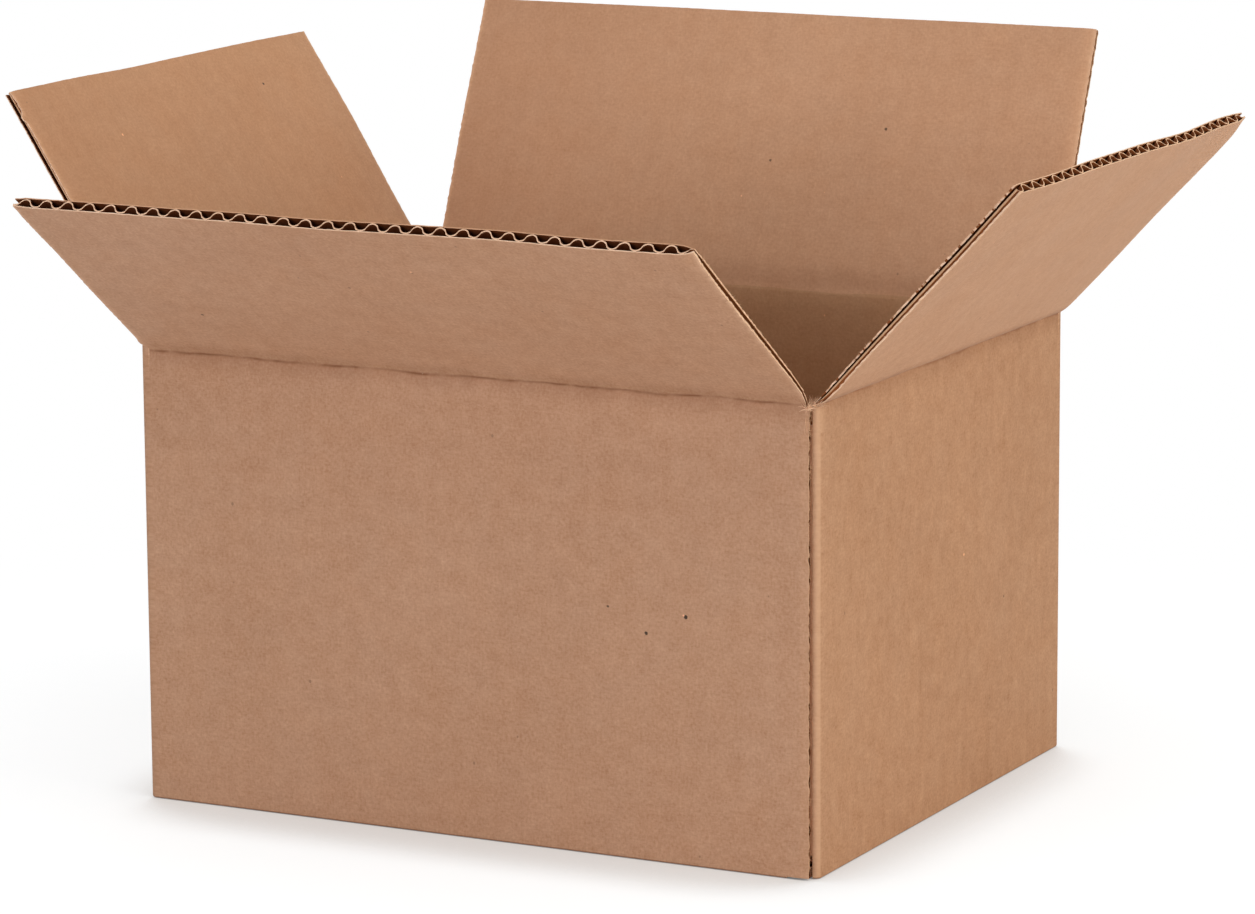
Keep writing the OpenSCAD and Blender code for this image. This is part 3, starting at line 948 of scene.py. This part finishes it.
def make_end_bottom(body, turn, key, seed):
    """An end bottom flap, inside the floor, with open flutes on its free edge."""
    rim, phase, skin = 1.5, 0.2, MEDIUM * 0.6
    swell = smooth_noise(seed, 40, 150)
    rag = smooth_noise(seed + 1, 1.5, 12)
    end = FLAP - BOARD

    def point(u, w, v):
        u, w, v = np.broadcast_arrays(u, w, v)
        lift = 0.25 + 0.35 * (0.5 + 0.5 * swell(u, w)) * unit(w / 60)
        return turned(np.stack([u, -HALF_L + BOARD + w, BOARD + v + lift], -1), turn)

    rows = np.concatenate([np.linspace(0, end - rim, 24), [end]])[::-1]
    u = np.linspace(-END_FLAP / 2, END_FLAP / 2, 98)
    for low, high, slots in ((0.0, LINER, (LINER_OUT, FLUTE_SHADE)), (BOARD - LINER, BOARD, (FLUTE_SHADE, SHADED_WALL_IN))):
        w = rows[:, None] + (rows == end)[:, None] * 0.1 * rag(u, low)[None]
        a, b = point(u[None], w, low), point(u[None], w, high)
        body.slab(a, b, board_uv(ALONG[key] + HALF_W + u[None], -w - BOARD), slots)
    u = np.linspace(-END_FLAP / 2, END_FLAP / 2, round(END_FLAP / PITCH * 12) + 1)
    wave = WAVE_RISE * np.cos(2 * math.pi * (u / PITCH + phase))
    w = np.array([end, end - rim, end * 0.75, end * 0.5, end * 0.25, 0.0])[:, None]
    a, b = (point(u[None], w, (BOARD / 2 + wave + off)[None]) for off in (-skin, skin))
    body.slab(a, b, board_uv(1100 + u[None], -w), (FLUTE_SHADE, FLUTE_SHADE))


body = Form()
rng = np.random.default_rng(21)
make_walls(body)
make_posts(body, rng)
make_raw_edge(body, rng)
make_tuft(body, rng)
make_glue_tab(body)
make_long_bottom(body, 0, "front")
make_long_bottom(body, 180, "back")
make_end_bottom(body, 90, "right", 91)
make_end_bottom(body, -90, "left", 96)
shell = body.build("box_body_board", MATERIALS)
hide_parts("box_body")
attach(shell, "box_body")


# White floor and studio light
def white_for(tree):
    """1 for the rays that show the white background: camera, glossy and transmission rays."""
    path = add(tree, "ShaderNodeLightPath")
    some = path["Is Camera Ray"]
    for kind in ("Is Glossy Ray", "Is Transmission Ray"):
        some = add(tree, "ShaderNodeMath", {0: some, 1: path[kind]}, operation="MAXIMUM")[0]
    return some


def mixed_shaders(tree, share, first, second):
    """The first shader where the share is 0, the second where it is 1."""
    return add(tree, "ShaderNodeMixShader", {0: share, 1: first, 2: second})[0]


def shadow_light(tree):
    """Light of the floor near the box: a soft shadow at its foot, dark in the slit below it."""
    facing = add(tree, "ShaderNodeCombineXYZ", {"X": -0.05, "Y": 0.28, "Z": 0.959})[0]
    contact = add(tree, "ShaderNodeAmbientOcclusion", {"Distance": 0.056, "Normal": facing})["AO"]
    lit = graded(tree, contact, 0.46, 0.86, "SMOOTHSTEP")
    tone = mixed(tree, lit, (0.66, 0.622, 0.597, 1), (1, 1, 1, 1))
    depths = {"Value": contact, "From Min": 0.02, "From Max": 0.34, "To Min": 0.14, "To Max": 0.82}
    slit = add(tree, "ShaderNodeMapRange", depths)["Result"]
    return add(tree, "ShaderNodeEmission", {"Color": tone, "Strength": slit})[0]


def floor_paper():
    """White paper that shows the box's shadow near it and plain white further off."""
    paper = bpy.data.materials.new("studio_white")
    paper.use_nodes = True
    tree = paper.node_tree
    tree.nodes.clear()
    unseen = add(tree, "ShaderNodeBsdfDiffuse", {"Color": (0.92, 0.92, 0.92, 1)})[0]
    seen = add(tree, "ShaderNodeBsdfDiffuse", {"Color": (0.30, 0.313, 0.317, 1)})[0]
    near = add(tree, "ShaderNodeAddShader", {0: seen, 1: shadow_light(tree)})[0]
    far = add(tree, "ShaderNodeEmission", {"Color": (1, 1, 1, 1), "Strength": 1.0})[0]
    spot = add(tree, "ShaderNodeTexCoord")["Object"]
    away = add(tree, "ShaderNodeVectorMath", {0: spot}, operation="LENGTH")["Value"]
    shown = mixed_shaders(tree, graded(tree, away, 0.22, 0.46, "SMOOTHSTEP"), near, far)
    surface = mixed_shaders(tree, white_for(tree), unseen, shown)
    add(tree, "ShaderNodeOutputMaterial", {"Surface": surface})
    return paper


def make_floor():
    half, drop = 14.0, 0.0002
    mesh = bpy.data.meshes.new("studio_floor")
    corners = [(-half, -half, 0), (half, -half, 0), (half, half, 0), (-half, half, 0)]
    mesh.from_pydata(corners, [], [(0, 1, 2, 3)])
    mesh.materials.append(floor_paper())
    floor_obj = bpy.data.objects.new("studio_floor", mesh)
    floor_obj.location = (0, 0, -drop)
    scene.collection.objects.link(floor_obj)


def make_world():
    """White behind the box, and a very weak light all round."""
    world = bpy.data.worlds.new("studio")
    scene.world = world
    world.use_nodes = True
    tree = world.node_tree
    tree.nodes.clear()
    soft = add(tree, "ShaderNodeBackground", {"Color": (1.0, 0.99, 0.98, 1), "Strength": 0.02})[0]
    white = add(tree, "ShaderNodeBackground", {"Color": (1, 1, 1, 1), "Strength": 1.0})[0]
    surface = mixed_shaders(tree, white_for(tree), soft, white)
    add(tree, "ShaderNodeOutputWorld", {"Surface": surface})


def lamp(name, place, aim, size, power, colour):
    """A rectangular softbox: places and sizes in metres, power in watts."""
    data = bpy.data.lights.new(name, "AREA")
    data.shape = "RECTANGLE"
    data.size, data.size_y = size
    data.energy = power
    data.color = colour
    obj = bpy.data.objects.new(name, data)
    obj.location = place
    obj.rotation_euler = (Vector(aim) - Vector(place)).to_track_quat("-Z", "Y").to_euler()
    scene.collection.objects.link(obj)


def make_camera():
    """Camera at the photo's viewing angle, in degrees, metres and pixels of the photo."""
    azimuth, elevation, roll = (math.radians(a) for a in (27.24, 10.96, -0.369))
    aside_by, aim_height, distance = 0.00627, 0.11511, 1.9593
    lens_pixels, photo_width, sensor = 5493.6, 1255, 36
    level = math.cos(elevation)
    toward = Vector((math.sin(azimuth) * level, -math.cos(azimuth) * level, math.sin(elevation)))
    aside = Vector((math.cos(azimuth), math.sin(azimuth), 0))
    upward = toward.cross(aside)
    x_axis = aside * math.cos(roll) + upward * math.sin(roll)
    y_axis = upward * math.cos(roll) - aside * math.sin(roll)
    spot = aside * aside_by + Vector((0, 0, aim_height)) + toward * distance
    data = bpy.data.cameras.new("photo_camera")
    data.sensor_fit = "HORIZONTAL"
    data.sensor_width = sensor
    data.lens = sensor * lens_pixels / photo_width
    data.clip_end = 60
    obj = bpy.data.objects.new("photo_camera", data)
    obj.matrix_world = Matrix((
        (x_axis.x, y_axis.x, toward.x, spot.x),
        (x_axis.y, y_axis.y, toward.y, spot.y),
        (x_axis.z, y_axis.z, toward.z, spot.z),
        (0, 0, 0, 1),
    ))
    scene.collection.objects.link(obj)
    scene.camera = obj


scene = bpy.context.scene
make_floor()
make_world()
lamp("top_softbox", (0.2, -0.3, 2.4), (0, 0, 0.1), (2.2, 2.2), 37, (1.0, 1.0, 1.0))
lamp("front_softbox", (0.0, -2.28, 0.56), (0, 0, 0.16), (2.0, 0.8), 28, (0.915, 0.947, 1.0))
lamp("right_softbox", (2.3, 0.0, 0.40), (0, 0, 0.14), (1.5, 0.8), 28.2, (1.0, 0.945, 0.79))
lamp("back_softbox", (-1.1, 2.15, 0.6), (0, 0, 0.15), (1.8, 0.8), 15, (1.0, 0.98, 0.95))
make_camera()
scene.view_settings.view_transform = "Standard"
